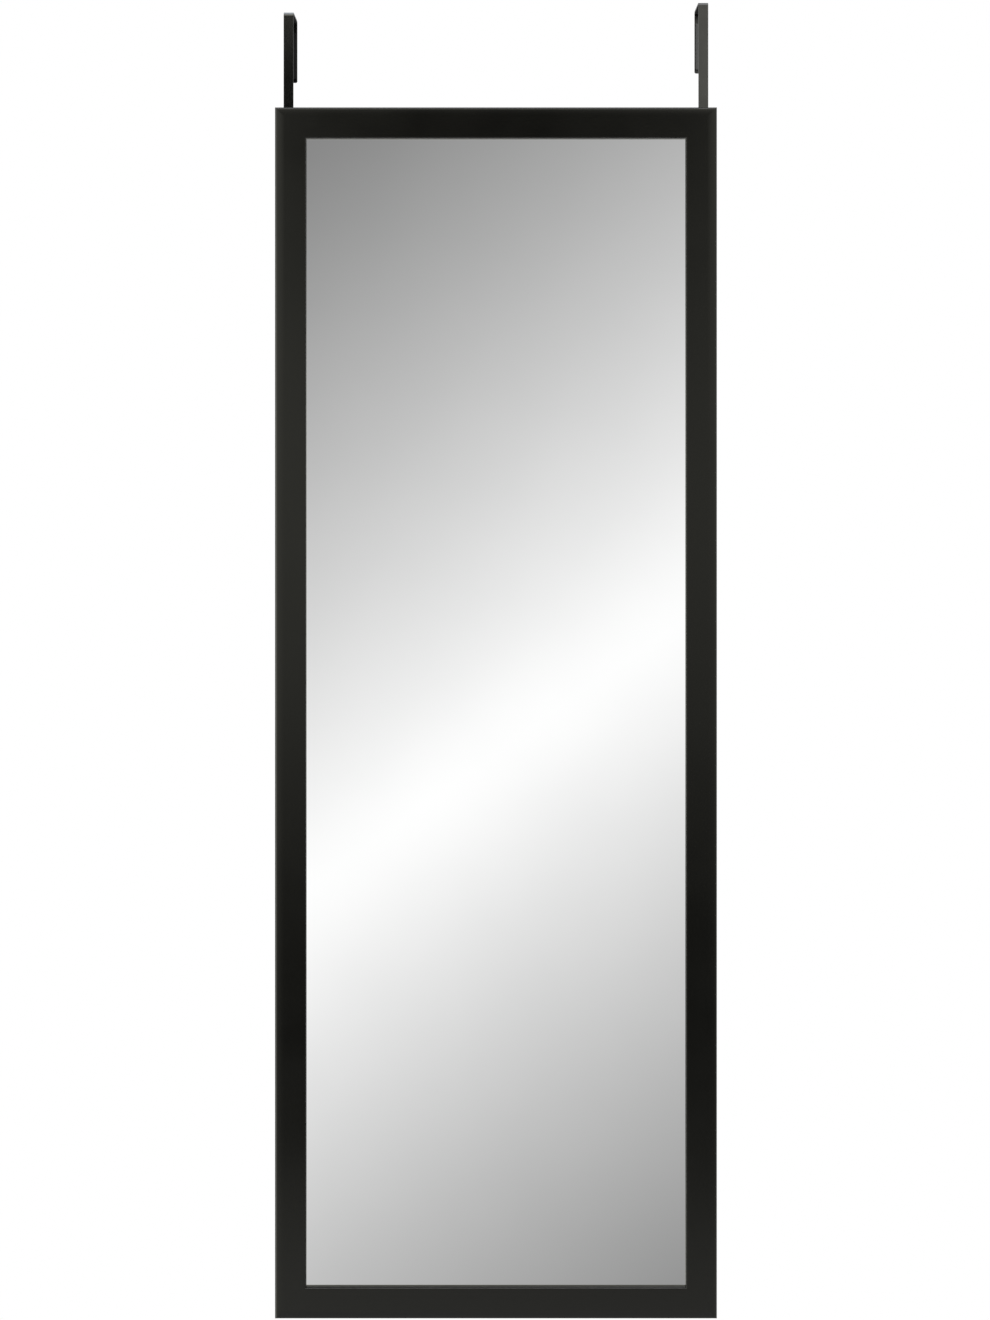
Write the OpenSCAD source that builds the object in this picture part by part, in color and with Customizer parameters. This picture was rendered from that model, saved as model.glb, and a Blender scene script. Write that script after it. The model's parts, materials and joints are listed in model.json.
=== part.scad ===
// Over the door mirror: a mitred, rabbeted moulding frame round a silvered glass pane,
// hung on the top edge of a door by two flat steel strap hooks that slide on their screws.
// Axes: +X to the viewer's right, +Y away from the viewer, +Z up.
// The origin is at mid width, on the door's front face, and level with the top of the door
// when the hooks stand at the middle of their travel.

/* [Frame] */
// Outer width of the frame
frame_w = 406.5; // [300:0.5:600]
// Outer height of the frame
frame_h = 1114; // [700:1:1700]
// Width of the moulding's face, from its outer edge to its sight edge
face_w = 28.5; // [26:0.5:45]
// Depth of the moulding, from front to back
frame_depth = 18; // [16:0.5:30]
// Thickness of the lip that stands in front of the glass
lip_t = 5; // [3:0.5:8]
// Width of the rabbet that the pane lies in
rabbet_w = 7.5; // [5:0.5:9]
// Radius of the rounded outer edge
outer_r = 2.5; // [1:0.5:5]
// Width of the outer part of the face that falls away in a slow curve
crown_w = 9; // [6:0.5:14]
// How far the face falls over that width
crown_drop = 0.6; // [0.3:0.1:2]
// Radius of the sight edge
sight_r = 1; // [0.4:0.1:2]
// Chamfer along the outer back edge
back_chamfer = 0.8; // [0.4:0.1:2]

/* [Pane] */
// Thickness of the mirror glass
glass_t = 3; // [2:0.5:5]
// Thickness of the foam sheet behind the glass
foam_t = 1; // [0.5:0.5:2]
// Thickness of the backing board
board_t = 3; // [2:0.5:4]
// Gap between the pane and the rabbet's wall, all round
pane_clear = 1.5; // [0.5:0.5:3]

/* [Frame fasteners] */
// Retaining points in each stile
points_per_stile = 5; // [3:1:8]
// Retaining points in each rail
points_per_rail = 3; // [2:1:5]
// Distance of the first retaining point from the frame's corner
point_margin = 75; // [60:1:110]
// Length of a retaining point
point_l = 14; // [12:0.5:18]
// Length of a retaining point that is driven into the rabbet's wall
point_grip = 7; // [5:0.5:8]
// Width of a retaining point
point_w = 5.5; // [4:0.5:8]
// Thickness of a retaining point
point_t = 0.6; // [0.4:0.1:1]
// Length of one leg of a corner nail
nail_leg = 4.5; // [3:0.5:6]
// Angle between a corner nail's leg and the mitre line
nail_angle = 32; // [20:1:45]
// Thickness of a corner nail
nail_t = 0.6; // [0.4:0.1:1]
// How deep a corner nail is driven
nail_depth = 10; // [6:0.5:12]
// Distance of the outer corner nail from the frame's two outer edges
nail_margin = 5; // [4:0.5:6]
// Step from the outer to the inner corner nail, along each outer edge
nail_step = 7; // [6:0.5:8]
// Clearance round whatever is driven into the moulding
pocket_clear = 0.05; // [0.02:0.01:0.1]

/* [Strap hooks] */
// Width of the steel strap
strap_w = 9; // [7:0.5:11]
// Thickness of the steel strap
strap_t = 1.6; // [1:0.1:2.5]
// Inner radius of the strap's bends
bend_r = 2; // [1:0.5:4]
// Space for the door between the bumpers' faces and the pad on the rear leg
door_gap = 36; // [30:1:50]
// Length of the rear leg, with the strap's thickness at the top
leg_l = 58.5; // [40:0.5:90]
// Height of the strap's top above the frame at the middle of the travel
hook_rise = 95.5; // [70:0.5:140]
// Distance from the frame's outer edge to the strap's middle
hook_inset = 11; // [9:0.5:12]
// Corner radius of the strap's ends
end_r = 1.6; // [0.5:0.1:3]
// Whole travel of a hook along its slots
hook_travel = 24; // [10:1:40]
// Height of the left hook above the middle of its travel
left_setting = -4.45; // [-5:0.05:5]
// Height of the right hook above the middle of its travel
right_setting = 4.45; // [-5:0.05:5]
// Gap between a screw and the slot's wall
slot_clear = 0.3; // [0.3:0.05:0.5]
// Steel left between the two slots and below the lower one
slot_web = 8; // [5:0.5:15]
// How far the upper slot stays below the frame's top at the end of the travel
slot_cover = 4; // [2:0.5:10]

/* [Hook screws] */
// Diameter of a screw's shank
screw_d = 3.5; // [3:0.1:4]
// Length of a screw under its head
screw_l = 12; // [9:0.5:14]
// Diameter of a screw's head
head_d = 6.9; // [6:0.1:7.5]
// Height of a screw's head
head_h = 2.2; // [1.6:0.1:3]
// Height of the head's straight rim below its dome
head_rim = 1.1; // [0.6:0.1:1.4]
// Length of one arm's pair in the head's cross recess
recess_l = 3.8; // [3:0.1:4.5]
// Width of an arm in the head's cross recess
recess_w = 0.9; // [0.6:0.1:1.2]
// Depth of the head's cross recess
recess_depth = 1.1; // [0.6:0.1:1.4]
// Length of a screw's point
tip_l = 3; // [2:0.5:4]
// Diameter of a washer
washer_d = 8; // [7.6:0.1:9]
// Thickness of a washer
washer_t = 0.5; // [0.4:0.1:1]
// Gap between a screw's shank and its washer
washer_clear = 0.2; // [0.1:0.05:0.3]
// Gap between a screw's head and the door
head_clear = 0.2; // [0.1:0.1:1]

/* [Pads and bumpers] */
// Thickness of the pads on the hooks
pad_t = 1.5; // [1:0.1:3]
// How far a pad's edges lie inside the strap's edges
pad_inset = 0.5; // [0.3:0.1:1.5]
// Length of the pad on the rear leg
leg_pad_l = 44; // [20:1:46]
// Gap between the pad on the rear leg and the leg's end
leg_pad_end = 3; // [2:0.5:6]
// Diameter of a bumper
bumper_d = 12; // [8:0.5:16]
// Radius of the bumper's edge
bumper_r = 1.2; // [0.5:0.1:1.5]
// Distance from the frame's side to a bumper's middle
bumper_inset = 40; // [30:1:80]

/* [Hidden] */
$fn = 64;

// How far a cutting shape runs past what it cuts
past = 1;

// Colours
moulding_black = "#20201d";
strap_black = "#2b2b29";
screw_black = "#3a3a3a";
rubber_black = "#161616";
mirror_silver = "#c8ccce";
foam_white = "#e9e8e4";
board_brown = "#7d5c3e";
steel_grey = "#a9abad";

// Depths, front to back: the bumpers are as thick as the strap, washer and head together
bumper_t = strap_t + washer_t + head_h + head_clear;
back_y = -bumper_t;
glass_y = back_y - frame_depth + lip_t;
foam_y = glass_y + glass_t;
board_y = foam_y + foam_t;
board_back_y = board_y + board_t;
strap_back_y = back_y + strap_t;
head_y = strap_back_y + washer_t;
leg_y = door_gap + pad_t;
leg_back_y = leg_y + strap_t;

// Heights, with the hooks at the middle of their travel
strap_top_z = pad_t + strap_t;
leg_end_z = strap_top_z - leg_l;
frame_top_z = strap_top_z - hook_rise;
frame_bottom_z = frame_top_z - frame_h;

// The moulding's back land, and the pane that lies inside the rabbets
land_w = face_w - rabbet_w;
pane_margin = land_w + pane_clear;
pane_w = frame_w - 2 * pane_margin;
pane_h = frame_h - 2 * pane_margin;

// The face's slow curve ends level with the flat, and the outer edge is tangent to it
crown_r = (crown_w * crown_w + crown_drop * crown_drop) / (2 * crown_drop);
crown_centre = [crown_w, frame_depth - crown_r];
edge_centre = [outer_r,
               crown_centre.y + sqrt(pow(crown_r - outer_r, 2) - pow(crown_w - outer_r, 2))];
edge_end = crown_centre + crown_r / (crown_r - outer_r) * (edge_centre - crown_centre);

// The slots' length sets where the screws are, so that the frame always hides the slots
slot_w = screw_d + 2 * slot_clear;
slot_l = hook_travel + slot_w;
upper_drop = (hook_travel + slot_l) / 2 + slot_cover;
lower_drop = upper_drop + slot_l + slot_web;
strap_foot_z = frame_top_z - lower_drop - slot_l / 2 - slot_web;
screw_drops = [upper_drop, lower_drop];
pilot_depth = screw_l - washer_t - strap_t + 2 * pocket_clear;

hook_x = frame_w / 2 - hook_inset;
bend_outer_r = bend_r + strap_t;
pad_w = strap_w - 2 * pad_inset;
dome_h = head_h - head_rim;
dome_r = (head_d * head_d / 4 + dome_h * dome_h) / (2 * dome_h);

// Places along a moulding where its retaining points sit
function point_places(length, count) =
    [for (i = [0:count - 1]) point_margin + i * (length - 2 * point_margin) / (count - 1)];

// Section of the moulding: +X from the outer edge to the sight edge, +Y from back to front
module moulding_section() {
    front_y = frame_depth;
    over_y = front_y + past;
    difference() {
        square([face_w, front_y]);
        // the rabbet, and the chamfer along the back
        translate([land_w, -past]) square([rabbet_w + past, front_y - lip_t + past]);
        polygon([[-past, -past], [back_chamfer + past, -past], [-past, back_chamfer + past]]);
        // the rounded outer edge
        difference() {
            polygon([[-past, edge_centre.y], edge_centre, edge_end, [edge_end.x, over_y],
                     [-past, over_y]]);
            translate(edge_centre) circle(r = outer_r);
        }
        // the slow curve of the face
        difference() {
            polygon([edge_end, [crown_w, front_y], [crown_w, over_y], [edge_end.x, over_y]]);
            translate(crown_centre) circle(r = crown_r);
        }
        // the sight edge
        translate([face_w - sight_r, front_y - sight_r])
            difference() {
                square(sight_r + past);
                circle(r = sight_r);
            }
    }
}

// One retaining point, with its tip in the rabbet's wall and its tail behind the board
module retaining_point(clear) {
    tip_x = land_w - point_grip;
    shoulder_x = tip_x + point_w / 2;
    half_w = point_w / 2 + clear;
    translate([0, board_back_y - back_y + point_t + clear, 0])
        rotate([90, 0, 0])
            linear_extrude(point_t + 2 * clear)
                polygon([[tip_x - clear, 0], [shoulder_x, half_w], [tip_x + point_l, half_w],
                         [tip_x + point_l, -half_w], [shoulder_x, -half_w]]);
}

// The retaining points of one moulding
module point_row(length, count, clear = 0) {
    for (z = point_places(length, count)) translate([0, 0, z]) retaining_point(clear);
}

// One V-shaped corner nail, driven from the back across the mitre line
module corner_nail(clear) {
    rotate([90, 0, 0])
        linear_extrude(nail_depth + clear)
            for (side = [-1, 1])
                rotate(45 + side * nail_angle)
                    translate([-clear, -nail_t / 2 - clear])
                        square([nail_leg + 2 * clear, nail_t + 2 * clear]);
}

// The corner nails at both ends of one moulding
module nail_row(length, clear = 0) {
    for (i = [0:1]) {
        reach = nail_margin + i * nail_step;
        translate([reach, 0, reach]) corner_nail(clear);
        translate([reach, 0, length - reach]) mirror([0, 0, 1]) corner_nail(clear);
    }
}

// One mitred length of moulding with the pockets of what is driven into it.
// +X runs from the outer edge to the sight edge, -Y from the back to the front
// and +Z along the outer edge, from corner to corner.
module moulding(length, point_count) {
    difference() {
        intersection() {
            translate([0, 0, -past])
                linear_extrude(length + 2 * past) mirror([0, 1]) moulding_section();
            translate([0, past, 0])
                rotate([90, 0, 0])
                    linear_extrude(frame_depth + 2 * past)
                        polygon([[-past, -past], [face_w + past, face_w + past],
                                 [face_w + past, length - face_w - past],
                                 [-past, length + past]]);
        }
        point_row(length, point_count, pocket_clear);
        nail_row(length, pocket_clear);
    }
}

// A stile also has the pilot holes of its hook's screws
module stile() {
    color(moulding_black)
        difference() {
            moulding(frame_h, points_per_stile);
            for (drop = screw_drops)
                translate([hook_inset, past, frame_h - drop])
                    rotate([90, 0, 0])
                        cylinder(d = screw_d + 2 * pocket_clear, h = pilot_depth + past);
        }
}

module rail() {
    color(moulding_black) moulding(frame_w, points_per_rail);
}

// Places for the four mouldings and for what is driven into them
module on_left() {
    translate([-frame_w / 2, back_y, frame_bottom_z]) children();
}

module on_right() {
    mirror([1, 0, 0]) on_left() children();
}

module on_top() {
    translate([-frame_w / 2, back_y, frame_top_z]) rotate([0, 90, 0]) children();
}

module on_bottom() {
    translate([frame_w / 2, back_y, frame_bottom_z]) rotate([0, -90, 0]) children();
}

module left_stile() {
    on_left() stile();
}

module right_stile() {
    on_right() stile();
}

module top_rail() {
    on_top() rail();
}

module bottom_rail() {
    on_bottom() rail();
}

// A flat sheet that fills the rabbets, with its front face at y
module pane_sheet(y, t) {
    translate([-pane_w / 2, y, frame_bottom_z + pane_margin]) cube([pane_w, t, pane_h]);
}

module mirror_glass() {
    color(mirror_silver) pane_sheet(glass_y, glass_t);
}

module foam_sheet() {
    color(foam_white) pane_sheet(foam_y, foam_t);
}

module backing_board() {
    color(board_brown) pane_sheet(board_y, board_t);
}

module retaining_points() {
    color(steel_grey) {
        on_left() point_row(frame_h, points_per_stile);
        on_right() point_row(frame_h, points_per_stile);
        on_top() point_row(frame_w, points_per_rail);
        on_bottom() point_row(frame_w, points_per_rail);
    }
}

module corner_nails() {
    color(steel_grey) {
        on_left() nail_row(frame_h);
        on_right() nail_row(frame_h);
    }
}

// A quarter of the strap's bend, turned to its place
module bend_section(turn) {
    rotate(turn)
        intersection() {
            difference() {
                circle(r = bend_outer_r);
                circle(r = bend_r);
            }
            square(bend_outer_r + past);
        }
}

// Side view of the strap, bent over the door: +X here is the part's +Y, and +Y its +Z
module strap_section() {
    shoulder_z = strap_top_z - bend_outer_r;
    bridge_l = leg_back_y - back_y - 2 * bend_outer_r;
    translate([back_y, strap_foot_z]) square([strap_t, shoulder_z - strap_foot_z]);
    translate([leg_y, leg_end_z]) square([strap_t, shoulder_z - leg_end_z]);
    translate([back_y + bend_outer_r, pad_t]) square([bridge_l, strap_t]);
    translate([back_y + bend_outer_r, shoulder_z]) bend_section(90);
    translate([leg_back_y - bend_outer_r, shoulder_z]) bend_section(0);
}

// Runs a flat outline through the strap, with y at the strap's front and z at its origin
module through_strap(y, z) {
    translate([0, y - past, z])
        rotate([-90, 0, 0]) linear_extrude(strap_t + 2 * past) children();
}

module slot_outline() {
    square([slot_w, hook_travel], center = true);
    for (side = [-1, 1]) translate([0, side * hook_travel / 2]) circle(d = slot_w);
}

// What the rounded end of a strap leaves of a square one
module end_corners() {
    for (side = [0, 1])
        mirror([side, 0])
            translate([strap_w / 2 - end_r, -end_r])
                difference() {
                    square(end_r + past);
                    circle(r = end_r);
                }
}

// The strap at the middle of its travel
module hook_strap() {
    color(strap_black)
        difference() {
            rotate([90, 0, 90]) linear_extrude(strap_w, center = true) strap_section();
            for (drop = screw_drops) through_strap(back_y, frame_top_z - drop) slot_outline();
            through_strap(back_y, strap_foot_z) end_corners();
            through_strap(leg_y, leg_end_z) end_corners();
        }
}

// The pad under the strap's bridge rests on the door's top
module top_pad() {
    pad_y = strap_back_y + bend_r + pad_inset;
    color(rubber_black)
        translate([-pad_w / 2, pad_y, 0])
            cube([pad_w, leg_y - bend_r - pad_inset - pad_y, pad_t]);
}

// The pad on the rear leg faces the back of the door
module leg_pad() {
    color(rubber_black)
        translate([-pad_w / 2, door_gap, leg_end_z + leg_pad_end])
            cube([pad_w, pad_t, leg_pad_l]);
}

// Places a piece of a hanger: side is -1 for the left and 1 for the right
module at_hook(side, setting = 0) {
    translate([side * hook_x, 0, setting]) children();
}

module left_hook() {
    at_hook(-1, left_setting) hook_strap();
}

module right_hook() {
    at_hook(1, right_setting) hook_strap();
}

module left_top_pad() {
    at_hook(-1, left_setting) top_pad();
}

module right_top_pad() {
    at_hook(1, right_setting) top_pad();
}

module left_leg_pad() {
    at_hook(-1, left_setting) leg_pad();
}

module right_leg_pad() {
    at_hook(1, right_setting) leg_pad();
}

// A pan head screw with a cross recess, its head towards +Z and its shank below z = 0
module pan_screw() {
    difference() {
        union() {
            intersection() {
                cylinder(d = head_d, h = head_h + past);
                translate([0, 0, head_h - dome_r]) sphere(r = dome_r);
                translate([0, 0, dome_r]) cube(2 * dome_r, center = true);
            }
            translate([0, 0, tip_l - screw_l]) cylinder(d = screw_d, h = screw_l - tip_l);
            translate([0, 0, -screw_l]) cylinder(d1 = 0.2 * screw_d, d2 = screw_d, h = tip_l);
        }
        for (turn = [0, 90])
            rotate(turn)
                translate([-recess_l / 2, -recess_w / 2, head_h - recess_depth])
                    cube([recess_l, recess_w, recess_depth + past]);
    }
}

module washer() {
    difference() {
        cylinder(d = washer_d, h = washer_t);
        translate([0, 0, -past]) cylinder(d = screw_d + 2 * washer_clear, h = washer_t + 2 * past);
    }
}

// Stands a piece on a face at depth y, at both screws of a hook
module at_screws(side, y) {
    for (drop = screw_drops)
        at_hook(side) translate([0, y, frame_top_z - drop]) rotate([-90, 0, 0]) children();
}

module left_screws() {
    color(screw_black) at_screws(-1, head_y) pan_screw();
}

module right_screws() {
    color(screw_black) at_screws(1, head_y) pan_screw();
}

module left_washers() {
    color(screw_black) at_screws(-1, strap_back_y) washer();
}

module right_washers() {
    color(screw_black) at_screws(1, strap_back_y) washer();
}

// A rubber bumper on the back land, with its flat face against the door.
// side is -1 or 1 for left or right, and end is -1 or 1 for the lower or upper rail.
module bumper(side, end) {
    flat_r = bumper_d / 2 - bumper_r;
    rail_z = end < 0 ? frame_bottom_z + land_w / 2 : frame_top_z - land_w / 2;
    color(rubber_black)
        translate([side * (frame_w / 2 - bumper_inset), back_y, rail_z])
            rotate([-90, 0, 0])
                rotate_extrude() {
                    square([flat_r, bumper_t]);
                    square([bumper_d / 2, bumper_t - bumper_r]);
                    intersection() {
                        translate([flat_r, bumper_t - bumper_r]) circle(r = bumper_r);
                        square([bumper_d, bumper_t]);
                    }
                }
}

module upper_left_bumper() {
    bumper(-1, 1);
}

module upper_right_bumper() {
    bumper(1, 1);
}

module lower_left_bumper() {
    bumper(-1, -1);
}

module lower_right_bumper() {
    bumper(1, -1);
}

left_stile();
right_stile();
top_rail();
bottom_rail();
mirror_glass();
foam_sheet();
backing_board();
retaining_points();
corner_nails();
left_hook();
right_hook();
left_top_pad();
right_top_pad();
left_leg_pad();
right_leg_pad();
left_screws();
right_screws();
left_washers();
right_washers();
upper_left_bumper();
upper_right_bumper();
lower_left_bumper();
lower_right_bumper();
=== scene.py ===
"""Looks of a tall mirror in a slim black frame that hangs on a door's top edge from two strap hooks.

Everything is in metres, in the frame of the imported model: +Z up, +Y towards the door.
"""

import json
import math

import bmesh
import bpy
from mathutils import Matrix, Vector


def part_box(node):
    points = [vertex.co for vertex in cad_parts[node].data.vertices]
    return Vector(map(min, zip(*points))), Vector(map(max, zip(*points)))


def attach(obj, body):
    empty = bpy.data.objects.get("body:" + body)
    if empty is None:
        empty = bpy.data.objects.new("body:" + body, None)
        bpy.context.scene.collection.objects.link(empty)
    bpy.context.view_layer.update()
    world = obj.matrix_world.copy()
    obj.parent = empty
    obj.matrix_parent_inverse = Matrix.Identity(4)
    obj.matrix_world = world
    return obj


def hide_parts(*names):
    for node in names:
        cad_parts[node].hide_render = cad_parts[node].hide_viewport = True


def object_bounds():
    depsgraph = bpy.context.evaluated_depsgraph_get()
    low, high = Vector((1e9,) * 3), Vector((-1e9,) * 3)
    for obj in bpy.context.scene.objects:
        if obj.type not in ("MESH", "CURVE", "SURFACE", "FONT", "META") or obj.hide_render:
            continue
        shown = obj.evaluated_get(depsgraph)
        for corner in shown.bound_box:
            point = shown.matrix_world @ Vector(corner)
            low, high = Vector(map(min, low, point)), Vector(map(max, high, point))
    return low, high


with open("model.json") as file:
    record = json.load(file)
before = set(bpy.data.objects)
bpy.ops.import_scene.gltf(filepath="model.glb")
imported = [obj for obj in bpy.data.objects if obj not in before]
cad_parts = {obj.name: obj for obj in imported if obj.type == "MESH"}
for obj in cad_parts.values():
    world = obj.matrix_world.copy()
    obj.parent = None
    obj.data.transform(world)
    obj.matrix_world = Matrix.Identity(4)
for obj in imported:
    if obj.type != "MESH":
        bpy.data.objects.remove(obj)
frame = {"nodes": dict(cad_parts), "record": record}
cad_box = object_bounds()
MM = 0.001

MOULDINGS = ("left_stile", "right_stile", "top_rail", "bottom_rail")
HOOKS = ("left_hook", "right_hook")
MOULDING_EDGE = 0.12 * MM      # by which the mouldings' sharp edges are broken
STRAP_EDGE = 0.22 * MM         # by which the straps' sharp edges are broken
SHARP = math.radians(35)       # least turn of an edge that is broken
SAME_POINT = 0.002 * MM        # points of a node within this distance are one


# ---------------------------------------------------------------- node helpers


def add(tree, kind, inputs=None, **fields):
    """A shader node, with its fields set and its inputs set to values or linked to sockets."""
    node = tree.nodes.new("ShaderNode" + kind)
    for field, value in fields.items():
        setattr(node, field, value)
    for socket, value in (inputs or {}).items():
        if isinstance(value, bpy.types.NodeSocket):
            tree.links.new(value, node.inputs[socket])
        else:
            node.inputs[socket].default_value = value
    return node


def math_of(tree, operation, *values):
    """The result of one arithmetic step on values or sockets."""
    return add(tree, "Math", dict(enumerate(values)), operation=operation).outputs[0]


def weighted(tree, shares):
    """The sum of (value, weight) pairs."""
    total = 0.0
    for value, weight in shares:
        total = math_of(tree, "MULTIPLY_ADD", value, weight, total)
    return total


def mapped(tree, value, start, end, low=0.0, high=1.0, smooth=False):
    """What goes from low to high, and no further, as the value goes from start to end."""
    inputs = {"Value": value, "From Min": start, "From Max": end, "To Min": low, "To Max": high}
    course = "SMOOTHSTEP" if smooth else "LINEAR"
    return add(tree, "MapRange", inputs, interpolation_type=course).outputs["Result"]


def spread(tree, value, low, high):
    """A value from 0 to 1, spread from low to high."""
    return mapped(tree, value, 0.0, 1.0, low, high)


def length(tree, vector):
    """How long a vector is."""
    return add(tree, "VectorMath", {0: vector}, operation="LENGTH").outputs["Value"]


def place(tree):
    """Where a point lies on its object, in metres."""
    return add(tree, "TexCoord").outputs["Object"]


def stretched(tree, scale):
    """The place, scaled by its own factor along each axis."""
    return add(tree, "Mapping", {"Vector": place(tree), "Scale": scale}).outputs["Vector"]


def noise(tree, size, detail=2.0, vector=None):
    """Cloudy values about 0.5, with patches of about that size in metres."""
    where = place(tree) if vector is None else vector
    return add(tree, "TexNoise", {"Vector": where, "Scale": 1 / size, "Detail": detail}).outputs["Fac"]


def ramp(tree, value, stops, interpolation="LINEAR"):
    """A colour ramp through (place from 0 to 1, colour) stops."""
    node = add(tree, "ValToRGB", {"Fac": value})
    node.color_ramp.interpolation = interpolation
    points = node.color_ramp.elements
    while len(points) < len(stops):
        points.new(0.5)
    for point, (position, colour) in zip(points, stops):
        point.position = position
        point.color = (*colour, 1)
    return node.outputs["Color"]


def curve(tree, value, stops):
    """A smooth curve over a value, near to (value, level) stops whose levels lie from 0 to 1."""
    low, high = stops[0][0], stops[-1][0]
    places = [((at - low) / (high - low), (level,) * 3) for at, level in stops]
    return ramp(tree, mapped(tree, value, low, high), places, interpolation="B_SPLINE")


def ridges(tree, axis, pitch):
    """Even ridges across an axis, of that pitch in metres, from 0 between them to 1 on top."""
    pitch_at_scale_1 = math.pi / 10                 # of the wave texture
    wave = {"Vector": place(tree), "Scale": pitch_at_scale_1 / pitch, "Distortion": 0.5, "Detail": 1.0}
    return add(tree, "TexWave", wave, bands_direction=axis).outputs["Fac"]


def bump(tree, height, depth, normal=None):
    """A normal bent by a height from 0 to 1 that stands for that depth in metres."""
    inputs = {"Height": height, "Distance": depth, "Strength": 1.0}
    if normal is not None:
        inputs["Normal"] = normal
    return add(tree, "Bump", inputs).outputs["Normal"]


def principled(name, paint):
    """A material whose inputs are those that paint(tree) gives for its Principled shader."""
    material = bpy.data.materials.new(name)
    material.use_nodes = True
    tree = material.node_tree
    tree.nodes.clear()
    shader = add(tree, "BsdfPrincipled", paint(tree))
    add(tree, "OutputMaterial", {"Surface": shader.outputs["BSDF"]})
    return material


# ------------------------------------------------------------------- materials


def satin_foil(tree):
    """Black foil on a moulded plastic core, with the faint ripple of the core under it."""
    peel = noise(tree, 1.6 * MM, detail=1)
    grain = noise(tree, 0.25 * MM, detail=2)
    handling = noise(tree, 60 * MM, detail=4)
    tone = ramp(tree, handling, [(0.3, (0.0045, 0.0044, 0.0037)), (0.7, (0.0065, 0.0064, 0.0054))])
    ripple = bump(tree, peel, 0.006 * MM)
    return {
        "Base Color": tone,
        "Roughness": spread(tree, handling, 0.18, 0.25),
        "IOR": 1.5,
        "Normal": bump(tree, grain, 0.0015 * MM, ripple),
    }


def silvered_glass(tree):
    """Float glass over silver: a clear reflection with a trace of haze."""
    haze = noise(tree, 90 * MM, detail=3)
    return {
        "Base Color": ramp(tree, haze, [(0.3, (0.915, 0.918, 0.916)), (0.7, (0.93, 0.932, 0.93))]),
        "Metallic": 1.0,
        "Roughness": spread(tree, haze, 0.0, 0.012),
    }


def hardboard(tree):
    """Pressed wood fibre, its outer face printed with the mesh that it was pressed on."""
    fibre = noise(tree, 0.8 * MM, detail=6, vector=stretched(tree, (0.5, 1, 2.2)))
    patches = noise(tree, 70 * MM, detail=5)
    mesh_pitch = 2.4 * MM
    mesh = math_of(tree, "MULTIPLY", ridges(tree, "X", mesh_pitch), ridges(tree, "Z", mesh_pitch))
    blend = weighted(tree, [(fibre, 0.62), (patches, 0.16), (mesh, 0.22)])
    tone = ramp(tree, blend, [(0.2, (0.085, 0.042, 0.02)), (0.45, (0.185, 0.1, 0.05)),
                              (0.75, (0.3, 0.178, 0.098))])
    print_mark = bump(tree, mesh, 0.22 * MM)
    return {
        "Base Color": tone,
        "Roughness": spread(tree, fibre, 0.72, 0.9),
        "Specular IOR Level": 0.3,
        "Normal": bump(tree, fibre, 0.05 * MM, print_mark),
    }


def rolled_steel(tree):
    """Bright steel strip with the fine lines of the rolls."""
    lines = noise(tree, 0.4 * MM, detail=3, vector=stretched(tree, (1, 1, 0.06)))
    return {
        "Base Color": ramp(tree, lines, [(0.3, (0.36, 0.36, 0.37)), (0.7, (0.55, 0.55, 0.56))]),
        "Metallic": 1.0,
        "Roughness": spread(tree, lines, 0.26, 0.42),
        "Normal": bump(tree, lines, 0.004 * MM),
    }


def powder_coat(tree):
    """Satin black powder coat on steel strip."""
    orange_peel = noise(tree, 0.9 * MM, detail=1.5)
    rubbed = noise(tree, 25 * MM, detail=4)
    tone = ramp(tree, rubbed, [(0.3, (0.006, 0.006, 0.0055)), (0.75, (0.009, 0.009, 0.0083))])
    return {
        "Base Color": tone,
        "Roughness": spread(tree, rubbed, 0.12, 0.18),
        "Normal": bump(tree, orange_peel, 0.006 * MM),
    }


def black_zinc(tree):
    """Black passivated zinc, with the thin film's faint blue and straw."""
    film = noise(tree, 2.2 * MM, detail=3)
    return {
        "Base Color": ramp(tree, film, [(0.3, (0.045, 0.045, 0.05)), (0.55, (0.07, 0.068, 0.066)),
                                        (0.75, (0.05, 0.055, 0.075))]),
        "Metallic": 0.9,
        "Roughness": spread(tree, film, 0.28, 0.42),
        "Normal": bump(tree, noise(tree, 0.2 * MM), 0.004 * MM),
    }


def rubber(tree):
    """Soft black rubber with a little bloom."""
    bloom = noise(tree, 3.0 * MM, detail=4)
    return {
        "Base Color": ramp(tree, bloom, [(0.3, (0.014, 0.014, 0.014)), (0.8, (0.03, 0.03, 0.031))]),
        "Roughness": spread(tree, bloom, 0.5, 0.7),
        "Normal": bump(tree, noise(tree, 0.3 * MM), 0.01 * MM),
    }


def foam_of(dark, light):
    """Foam between two tones, whose cut surface shows its small cells as dents, with painted shade: its
    tone darkens towards each dent's bottom.
    """
    cell = 0.35 * MM

    def paint(tree):
        cells = add(tree, "TexVoronoi", {"Vector": place(tree), "Scale": 1 / cell}).outputs["Distance"]
        return {
            # painted shade: the distance that dents the cells also darkens each dent towards its bottom
            "Base Color": ramp(tree, cells, [(0.1, dark), (0.7, light)]),
            "Roughness": spread(tree, cells, 0.8, 0.95),
            "Specular IOR Level": 0.25,
            "Normal": bump(tree, cells, 0.08 * MM),
        }

    return paint


FINISHES = {
    "moulding": principled("moulding_satin_foil", satin_foil),
    "mirror": principled("mirror_silvered_glass", silvered_glass),
    "foam": principled("foam_white", foam_of((0.62, 0.62, 0.6), (0.82, 0.82, 0.8))),
    "board": principled("board_hardboard", hardboard),
    "bright_steel": principled("bright_steel_rolled", rolled_steel),
    "strap": principled("strap_powder_coat", powder_coat),
    "pad": principled("pad_dark_foam", foam_of((0.007, 0.007, 0.0066), (0.016, 0.016, 0.0155))),
    "fastener": principled("fastener_black_zinc", black_zinc),
    "bumper": principled("bumper_rubber", rubber),
}


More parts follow.
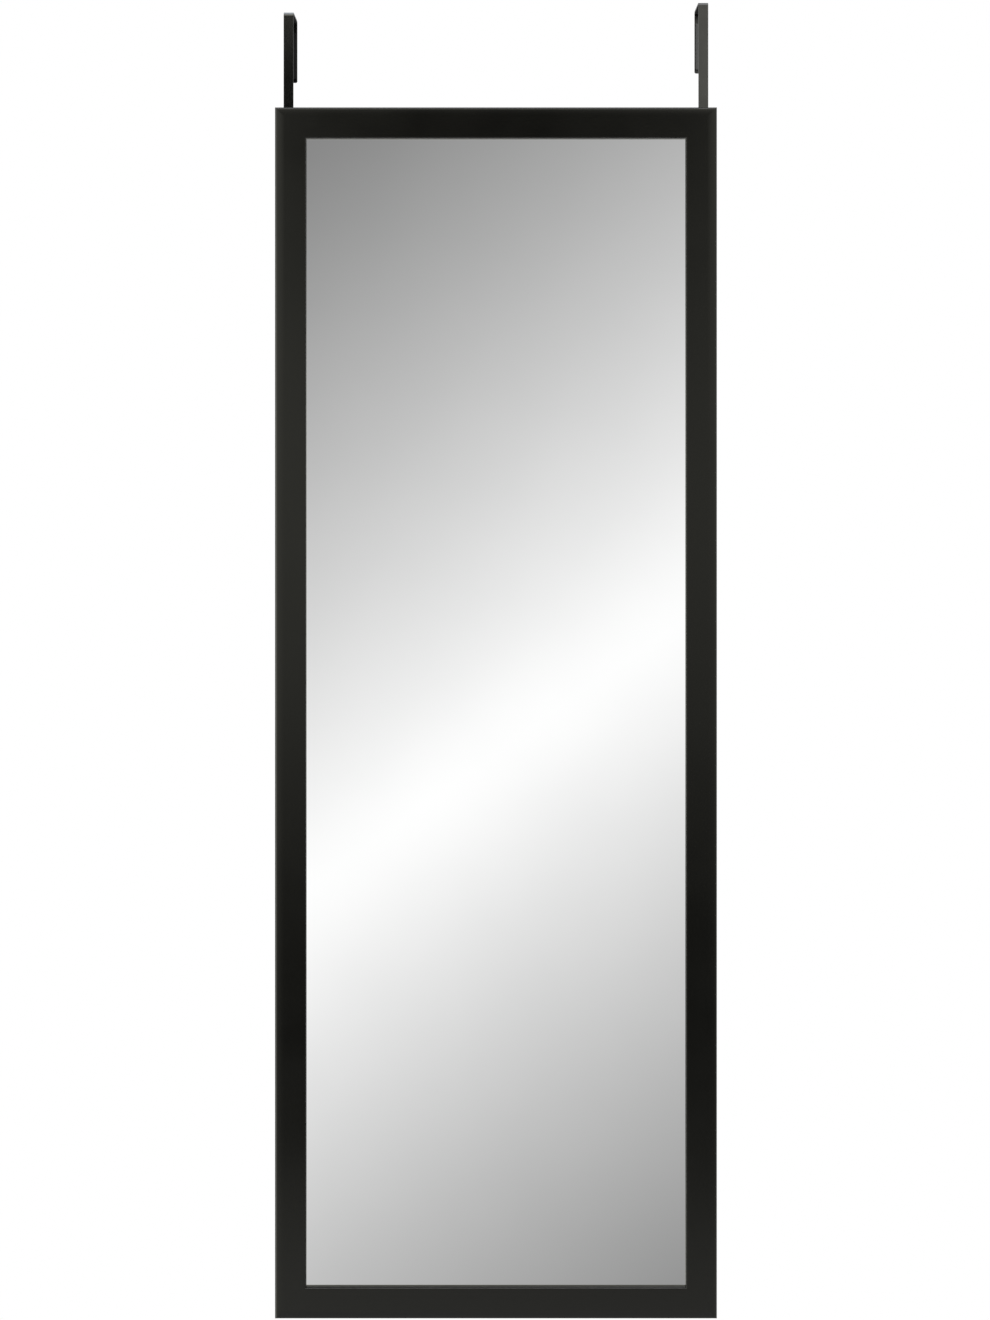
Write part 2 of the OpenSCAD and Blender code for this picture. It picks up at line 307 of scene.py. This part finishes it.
def dress_cad_nodes():
    """Gives each CAD node the finish of its material slot."""
    for part in frame["record"]["subparts"]:
        node = frame["nodes"][part["node"]]
        for holder in node.material_slots:
            holder.material = FINISHES[part["material_slot"]]


def soften(names, width, segments=2):
    """Breaks the sharp edges of CAD nodes by that width, and keeps their large faces flat."""
    for name in names:
        node = frame["nodes"][name]
        weld = node.modifiers.new("weld", "WELD")
        weld.merge_threshold = SAME_POINT
        edge = node.modifiers.new("broken_edges", "BEVEL")
        edge.width = width
        edge.segments = segments
        edge.limit_method = "ANGLE"
        edge.angle_limit = SHARP
        evened = node.modifiers.new("even_faces", "WEIGHTED_NORMAL")
        evened.mode = "FACE_AREA"


# --------------------------------------------------------------------- pieces

FOAM_STEP = 1.2 * MM           # size of the faces of a foam piece, within the numbers below
FEWEST_STEPS = 2               # faces along one axis
MOST_STEPS = 40                # faces along one axis
RIM_POWER = 8                  # the higher, the nearer to the rim a dished face turns up
PAD_EDGE = 0.35 * MM
PAD_DISH = 0.06 * MM
SHEET_EDGE = 0.3 * MM


def mesh_piece(name, mesh_data, slot, body):
    """A new piece of the object that rides on a body."""
    piece = bpy.data.objects.new(name, mesh_data)
    bpy.context.scene.collection.objects.link(piece)
    mesh_data.materials.append(FINISHES[slot])
    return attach(piece, body)


def cut_cube(steps):
    """A cube from -1 to 1, cut into that many steps along each axis."""
    made = bmesh.new()
    bmesh.ops.create_cube(made, size=2)
    for axis, count in enumerate(steps):
        across = [e for e in made.edges
                  if abs(e.verts[0].co[axis] - e.verts[1].co[axis]) > 1]
        bmesh.ops.subdivide_edges(made, edges=across, cuts=count - 1, use_grid_fill=True)
    return made


def rounded(unit, half, edge):
    """Where a point of the cube lies on a block of those half sizes, whose edges have that radius."""
    past = Vector((max(abs(unit[i]) * half[i] - (half[i] - edge), 0.0) for i in range(3)))
    pull = min(1.0, edge / past.length) if past.length > 0 else 1.0
    return [math.copysign(half[i] - edge + past[i] * pull, unit[i]) if past[i] > 0
            else unit[i] * half[i] for i in range(3)]


def drawn_in(unit, thin, dish):
    """How far a point of a large face is drawn in: by the dish, and by less towards the rim."""
    if abs(unit[thin]) <= 0.5:
        return 0.0
    first, second = [1 - unit[i] ** RIM_POWER for i in range(3) if i != thin]
    return math.copysign(dish * first * second, unit[thin])


def foam_block(name, node, slot, body, edge, dish):
    """A foam strip in a node's box: soft cut edges, and large faces drawn in by the dish."""
    low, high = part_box(node)
    centre = (low + high) / 2
    half = (high - low) / 2
    thin = min(range(3), key=lambda axis: half[axis])
    made = cut_cube([max(FEWEST_STEPS, min(MOST_STEPS, round(2 * h / FOAM_STEP))) for h in half])
    for vert in made.verts:
        unit = vert.co.copy()
        point = rounded(unit, half, edge)
        point[thin] -= drawn_in(unit, thin, dish)
        vert.co = centre + Vector(point)
    for face in made.faces:
        face.smooth = True
    data = bpy.data.meshes.new(name)
    made.to_mesh(data)
    made.free()
    piece = mesh_piece(name, data, slot, body)
    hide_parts(node)
    return piece


def hook_pads(side):
    """The two foam pads of one hook."""
    return [foam_block(f"{side}_{pad}_foam", f"{side}_{pad}", "pad", side + "_hanger",
                       edge=PAD_EDGE, dish=PAD_DISH) for pad in ("top_pad", "leg_pad")]


# --------------------------------------------------------------- camera, studio

CAMERA_DISTANCE = 2.1          # from the frame's front plane
CAMERA_DROP = 338.36 * MM      # of the camera below the frame's top edge
CAMERA_ASIDE = -0.87 * MM      # of the camera from the mirror's middle
LENS = 62.33                   # focal length in mm
SENSOR = 36                    # mm, along the picture's height
SHIFT_DOWN = 0.14              # of the picture, as a share of its height
DOOR_HEIGHT = 2.03             # of the door's top above the floor
WALL_RADIUS = 2.3              # of the wall that the glass reflects
CARD_RADIUS = 2.2              # of the card that the frame reflects
HOOK_CARD_RADIUS = 2.1         # of the card that the hooks reflect
STAGE_FOOT = -DOOR_HEIGHT - 1  # below the floor, so that no edge shows
STAGE_TOP = 3.5
DISPLAY_GAMMA = 2.2
WARM = (1, 1, 0.87, 1)
COOL = (0.84, 0.92, 1, 1)
WHITE = (1, 1, 1, 1)

front = cad_box[0].y
camera_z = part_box("top_rail")[1].z - CAMERA_DROP


def make_camera():
    """The photo's view: level, from a third of the way down the mirror, shifted down to hold it all."""
    data = bpy.data.cameras.new("camera")
    data.lens = LENS
    data.sensor_width = SENSOR
    data.shift_y = -SHIFT_DOWN
    camera = bpy.data.objects.new("camera", data)
    bpy.context.scene.collection.objects.link(camera)
    camera.location = (CAMERA_ASIDE, front - CAMERA_DISTANCE, camera_z)
    camera.rotation_euler = (math.radians(90), 0, 0)
    bpy.context.scene.camera = camera


def stage_piece(name, made, paint):
    """A stage object of that bmesh, with a material whose surface paint(tree) gives."""
    data = bpy.data.meshes.new(name)
    made.to_mesh(data)
    made.free()
    material = bpy.data.materials.new(name)
    material.use_nodes = True
    material.node_tree.nodes.clear()
    add(material.node_tree, "OutputMaterial", {"Surface": paint(material.node_tree)})
    data.materials.append(material)
    piece = bpy.data.objects.new(name, data)
    bpy.context.scene.collection.objects.link(piece)
    return piece


def make_floor():
    """A pale floor that turns white far from the mirror, so that it has no horizon."""
    whiteness = 0.4            # of the floor under the mirror, as the camera sees it
    pale_within = 0.5          # distance from the point under the mirror
    white_beyond = 2.0         # distance from the same point
    cloud = 0.15               # size of the faint clouds in its tone

    def paint(tree):
        away = length(tree, place(tree))
        fade = mapped(tree, away, pale_within, white_beyond, low=whiteness, smooth=True)
        seen = math_of(tree, "MULTIPLY", fade, add(tree, "LightPath").outputs["Is Camera Ray"])
        clouds = noise(tree, cloud, detail=3)
        tone = ramp(tree, clouds, [(0.3, (0.76, 0.76, 0.75)), (0.7, (0.78, 0.78, 0.77))])
        pale = add(tree, "BsdfDiffuse", {"Color": tone}).outputs["BSDF"]
        white = add(tree, "Emission", {"Color": WHITE, "Strength": 1.0}).outputs["Emission"]
        return add(tree, "MixShader", {0: seen, 1: pale, 2: white}).outputs["Shader"]

    made = bmesh.new()
    bmesh.ops.create_circle(made, cap_ends=True, radius=12, segments=96)
    stage_piece("floor", made, paint).location = (0, 0, -DOOR_HEIGHT)


def half_cylinder(radius, low, high, steps=48):
    """A wall round the mirror's front half, from one height to the other."""
    made = bmesh.new()
    rows = []
    for z in (low, high):
        angles = [math.pi * step / steps for step in range(steps + 1)]
        rows.append([made.verts.new((radius * math.cos(a), -radius * math.sin(a), z)) for a in angles])
    for step in range(steps):
        made.faces.new((rows[0][step], rows[0][step + 1], rows[1][step + 1], rows[1][step]))
    for face in made.faces:
        face.smooth = True
    return made


def seen_only_in_gloss(piece, receivers):
    """The piece shows in the gloss of those nodes and lights nothing else."""
    piece.visible_camera = False
    piece.visible_diffuse = False
    piece.visible_shadow = False
    piece.visible_transmission = False
    linked = bpy.data.collections.new(piece.name + "_receivers")
    for name in receivers:
        linked.objects.link(frame["nodes"][name])
    piece.light_linking.receiver_collection = linked
    piece.data.materials[0].cycles.emission_sampling = "NONE"


def along_and_up(tree, radius):
    """How far a point of a half cylinder lies along it from the middle, and above the camera."""
    axes = add(tree, "SeparateXYZ", {0: place(tree)}).outputs
    angle = math_of(tree, "ARCTAN2", axes["X"], math_of(tree, "MULTIPLY", axes["Y"], -1.0))
    return math_of(tree, "MULTIPLY", angle, radius), math_of(tree, "SUBTRACT", axes["Z"], camera_z)


def make_glass_wall():
    """What the glass reflects: a soft white band on a slant, in a room that darkens to both sides."""
    band_slope = 0.711         # of the band, as it climbs to the right
    band_drop = 0.2548         # of the band below the camera, as seen on the glass at mid width
    brightest = 0.996          # tone of the band's middle, as displayed
    darkest = 0.52             # tone midway between two bands
    flank = 1.008              # tone at which a band's two sides would meet, if it had a sharp crest
    rounding = 0.04            # of tone over which crests and troughs are rounded
    darkening = 0.714          # of the tone for each metre up or down the glass from the band
    band_every = 1.4           # height from one white band to the next, as seen on the glass
    glass_loss = 1.09          # makes up for the light that the glass keeps
    second_hand = 0.35         # share of its light that the frame's lip gets by way of the glass
    between_depths = 1.5       # ray depth is 1 if the glass alone sent the ray here, else 2 or more
    scale = (CAMERA_DISTANCE + WALL_RADIUS) / CAMERA_DISTANCE

    def paint(tree):
        along, up = along_and_up(tree, WALL_RADIUS)
        below = math_of(tree, "SUBTRACT", math_of(tree, "MULTIPLY", along, band_slope), up)
        away = math_of(tree, "SUBTRACT", below, band_drop * scale)
        folded = math_of(tree, "PINGPONG", away, band_every / 2 * scale)
        sides = math_of(tree, "SUBTRACT", flank, math_of(tree, "MULTIPLY", folded, darkening / scale))
        crests = math_of(tree, "SMOOTH_MIN", sides, brightest, rounding)
        tone = math_of(tree, "SMOOTH_MAX", crests, darkest, rounding)
        light = math_of(tree, "MULTIPLY", math_of(tree, "POWER", tone, DISPLAY_GAMMA), glass_loss)
        depth = add(tree, "LightPath").outputs["Ray Depth"]
        direct = math_of(tree, "LESS_THAN", depth, between_depths)
        light = math_of(tree, "MULTIPLY", light, spread(tree, direct, second_hand, 1.0))
        return add(tree, "Emission", {"Strength": light}).outputs["Emission"]

    wall = stage_piece("glass_wall", half_cylinder(WALL_RADIUS, STAGE_FOOT, STAGE_TOP), paint)
    seen_only_in_gloss(wall, ["mirror_glass"])


def clear_glow(tree, level, colour=WARM):
    """A surface that glows at that level and lets every ray pass."""
    glow = add(tree, "Emission", {"Color": colour, "Strength": level}).outputs["Emission"]
    clear = add(tree, "BsdfTransparent").outputs["BSDF"]
    return add(tree, "AddShader", {0: glow, 1: clear}).outputs["Shader"]


def dark_spot(tree, along, up):
    """From 0 in the dark place above the middle to 1 away from it."""
    height = 0.8               # of the place above the camera
    dark_within = 0.26
    clear_beyond = 0.76
    offset = {"X": along, "Y": math_of(tree, "SUBTRACT", up, height)}
    away = length(tree, add(tree, "CombineXYZ", offset).outputs["Vector"])
    return mapped(tree, away, dark_within, clear_beyond, smooth=True)


def make_frame_card():
    """What the frame's gloss shows: panels dark at knee height and above the middle, and side lights.

    The lists hold (place, level) stops. The places are heights above the camera, and in
    side_lights the way along the card from its middle.
    """
    left_panel = [(-2.2, 0.6), (-1.5, 0.68), (-1.28, 0.1), (-1.14, 0.0), (-0.78, 0.0),
                  (-0.45, 0.46), (0.1, 0.58), (0.6, 0.5), (1.1, 0.88), (1.6, 1.0)]
    right_panel = [(-2.2, 0.5), (-1.5, 0.56), (-1.3, 0.06), (-1.1, 0.0), (-0.75, 0.0),
                   (-0.4, 0.4), (0.1, 0.47), (0.6, 0.4), (1.1, 0.92), (1.6, 1.0)]
    side_lights = [(-3.4, 1.0), (-2.2, 0.75), (-1.3, 0.24), (-0.9, 0.1), (-0.6, 0.015), (-0.4, 0.0),
                   (0.4, 0.0), (0.9, 0.04), (1.3, 0.08), (2.2, 0.1), (3.4, 0.1)]
    side_heights = [(-2.2, 0.75), (-1.2, 0.85), (-0.3, 1.0), (0.2, 0.9), (0.7, 0.3), (1.6, 0.35)]
    panel_glow = 1.1
    side_glow = 2.9
    seam = 0.3                 # half the width over which the left panel turns into the right one

    def paint(tree):
        along, up = along_and_up(tree, CARD_RADIUS)
        left = curve(tree, up, left_panel)
        right = curve(tree, up, right_panel)
        panels = mapped(tree, along, -seam, seam, left, right)
        ahead = math_of(tree, "MULTIPLY", panels, dark_spot(tree, along, up))
        aside = math_of(tree, "MULTIPLY", curve(tree, along, side_lights), curve(tree, up, side_heights))
        return clear_glow(tree, weighted(tree, [(ahead, panel_glow), (aside, side_glow)]))

    card = stage_piece("frame_card", half_cylinder(CARD_RADIUS, STAGE_FOOT, STAGE_TOP), paint)
    seen_only_in_gloss(card, MOULDINGS)


def make_hook_card():
    """What the hooks' gloss shows: to the left dark below and bright above, to the right evenly lit."""
    bright = 3.2               # level above to the left
    even = 0.57                # level to the right
    dark_up_to = 0.86          # height above the camera
    bright_from = 1.0          # height above the camera
    seam = 0.2                 # half the width over which left turns into right
    foot = -0.9

    def paint(tree):
        along, up = along_and_up(tree, HOOK_CARD_RADIUS)
        left = mapped(tree, up, dark_up_to, bright_from, high=bright, smooth=True)
        return clear_glow(tree, mapped(tree, along, -seam, seam, left, even))

    card = stage_piece("hook_card", half_cylinder(HOOK_CARD_RADIUS, foot, STAGE_TOP), paint)
    seen_only_in_gloss(card, HOOKS)


def make_sky_card():
    """A cool light overhead, stronger to the left, that draws a line on the hooks' upper bends."""
    left = 4.5                 # level over the left hook
    right = 1.1                # level over the right hook
    seam = 0.1                 # half the width over which left turns into right
    rear_share = 0.1           # of the level at the card's rear edge
    half_width = 1.5
    front_y, front_z = -0.96, 1.6
    rear_y, rear_z = 2.0, 1.2

    def paint(tree):
        axes = add(tree, "SeparateXYZ", {0: place(tree)}).outputs
        level = mapped(tree, axes["X"], -seam, seam, left, right)
        fade = mapped(tree, axes["Y"], 0.0, rear_y, 1.0, rear_share)
        return clear_glow(tree, math_of(tree, "MULTIPLY", level, fade), COOL)

    made = bmesh.new()
    corners = [(-half_width, front_y, front_z), (half_width, front_y, front_z),
               (half_width, rear_y, rear_z), (-half_width, rear_y, rear_z)]
    made.faces.new([made.verts.new(corner) for corner in corners])
    card = stage_piece("sky_card", made, paint)
    seen_only_in_gloss(card, HOOKS)


def make_world():
    """White behind the object, and a soft grey light all round it."""
    seen_level = 1.0
    light_level = 0.4
    world = bpy.data.worlds.new("studio")
    bpy.context.scene.world = world
    world.use_nodes = True
    tree = world.node_tree
    tree.nodes.clear()
    seen = add(tree, "LightPath").outputs["Is Camera Ray"]
    level = spread(tree, seen, light_level, seen_level)
    back = add(tree, "Background", {"Color": WHITE, "Strength": level})
    add(tree, "OutputWorld", {"Surface": back.outputs["Background"]})


def soft_box(name, where, towards, size, power):
    """A rectangular soft light, its size in metres and its power in watts."""
    data = bpy.data.lights.new(name, "AREA")
    data.shape = "RECTANGLE"
    data.size, data.size_y = size
    data.energy = power
    light = bpy.data.objects.new(name, data)
    bpy.context.scene.collection.objects.link(light)
    light.location = where
    light.rotation_euler = (Vector(towards) - Vector(where)).to_track_quat("-Z", "Y").to_euler()
    return light


def only_for(light, receivers):
    """The light reaches those objects alone."""
    linked = bpy.data.collections.new(light.name + "_receivers")
    for receiver in receivers:
        linked.objects.link(receiver)
    light.light_linking.receiver_collection = linked


def make_lights(left_pads, right_pads):
    """Soft boxes over and behind the mirror, and two small ones for the right hook and the pads."""
    centre = (cad_box[0] + cad_box[1]) / 2
    left_top = (-0.19, 0, 0)
    right_top = (0.19, 0, 0)
    small = (0.5, 0.5)
    soft_box("top_box", (0.0, -0.6, 1.7), towards=(0, 0, 0), size=(2.0, 1.2), power=14)
    soft_box("rear_box", (1.9, 2.0, 2.1), towards=centre, size=(1.4, 1.4), power=55)
    soft_box("rear_fill", (-2.0, 1.6, 1.9), towards=centre, size=(1.4, 1.4), power=30)
    hook_light = soft_box("hook_light", (0.7, -1.2, 0.3), towards=right_top, size=small, power=140)
    hook_light.visible_glossy = False
    only_for(hook_light, [frame["nodes"]["right_hook"], *right_pads])
    pad_light = soft_box("pad_light", (-0.3, -0.8, 0.4), towards=left_top, size=small, power=4)
    only_for(pad_light, left_pads)


# ------------------------------------------------------------------- the scene

dress_cad_nodes()
soften(MOULDINGS, MOULDING_EDGE)
soften(HOOKS, STRAP_EDGE)
foam_block("foam_sheet_cushion", "foam_sheet", "foam", "frame", edge=SHEET_EDGE, dish=0.0)
left_pads = hook_pads("left")
right_pads = hook_pads("right")
make_camera()
make_floor()
make_glass_wall()
make_frame_card()
make_hook_card()
make_sky_card()
make_world()
make_lights(left_pads, right_pads)
bpy.context.scene.view_settings.view_transform = "Standard"
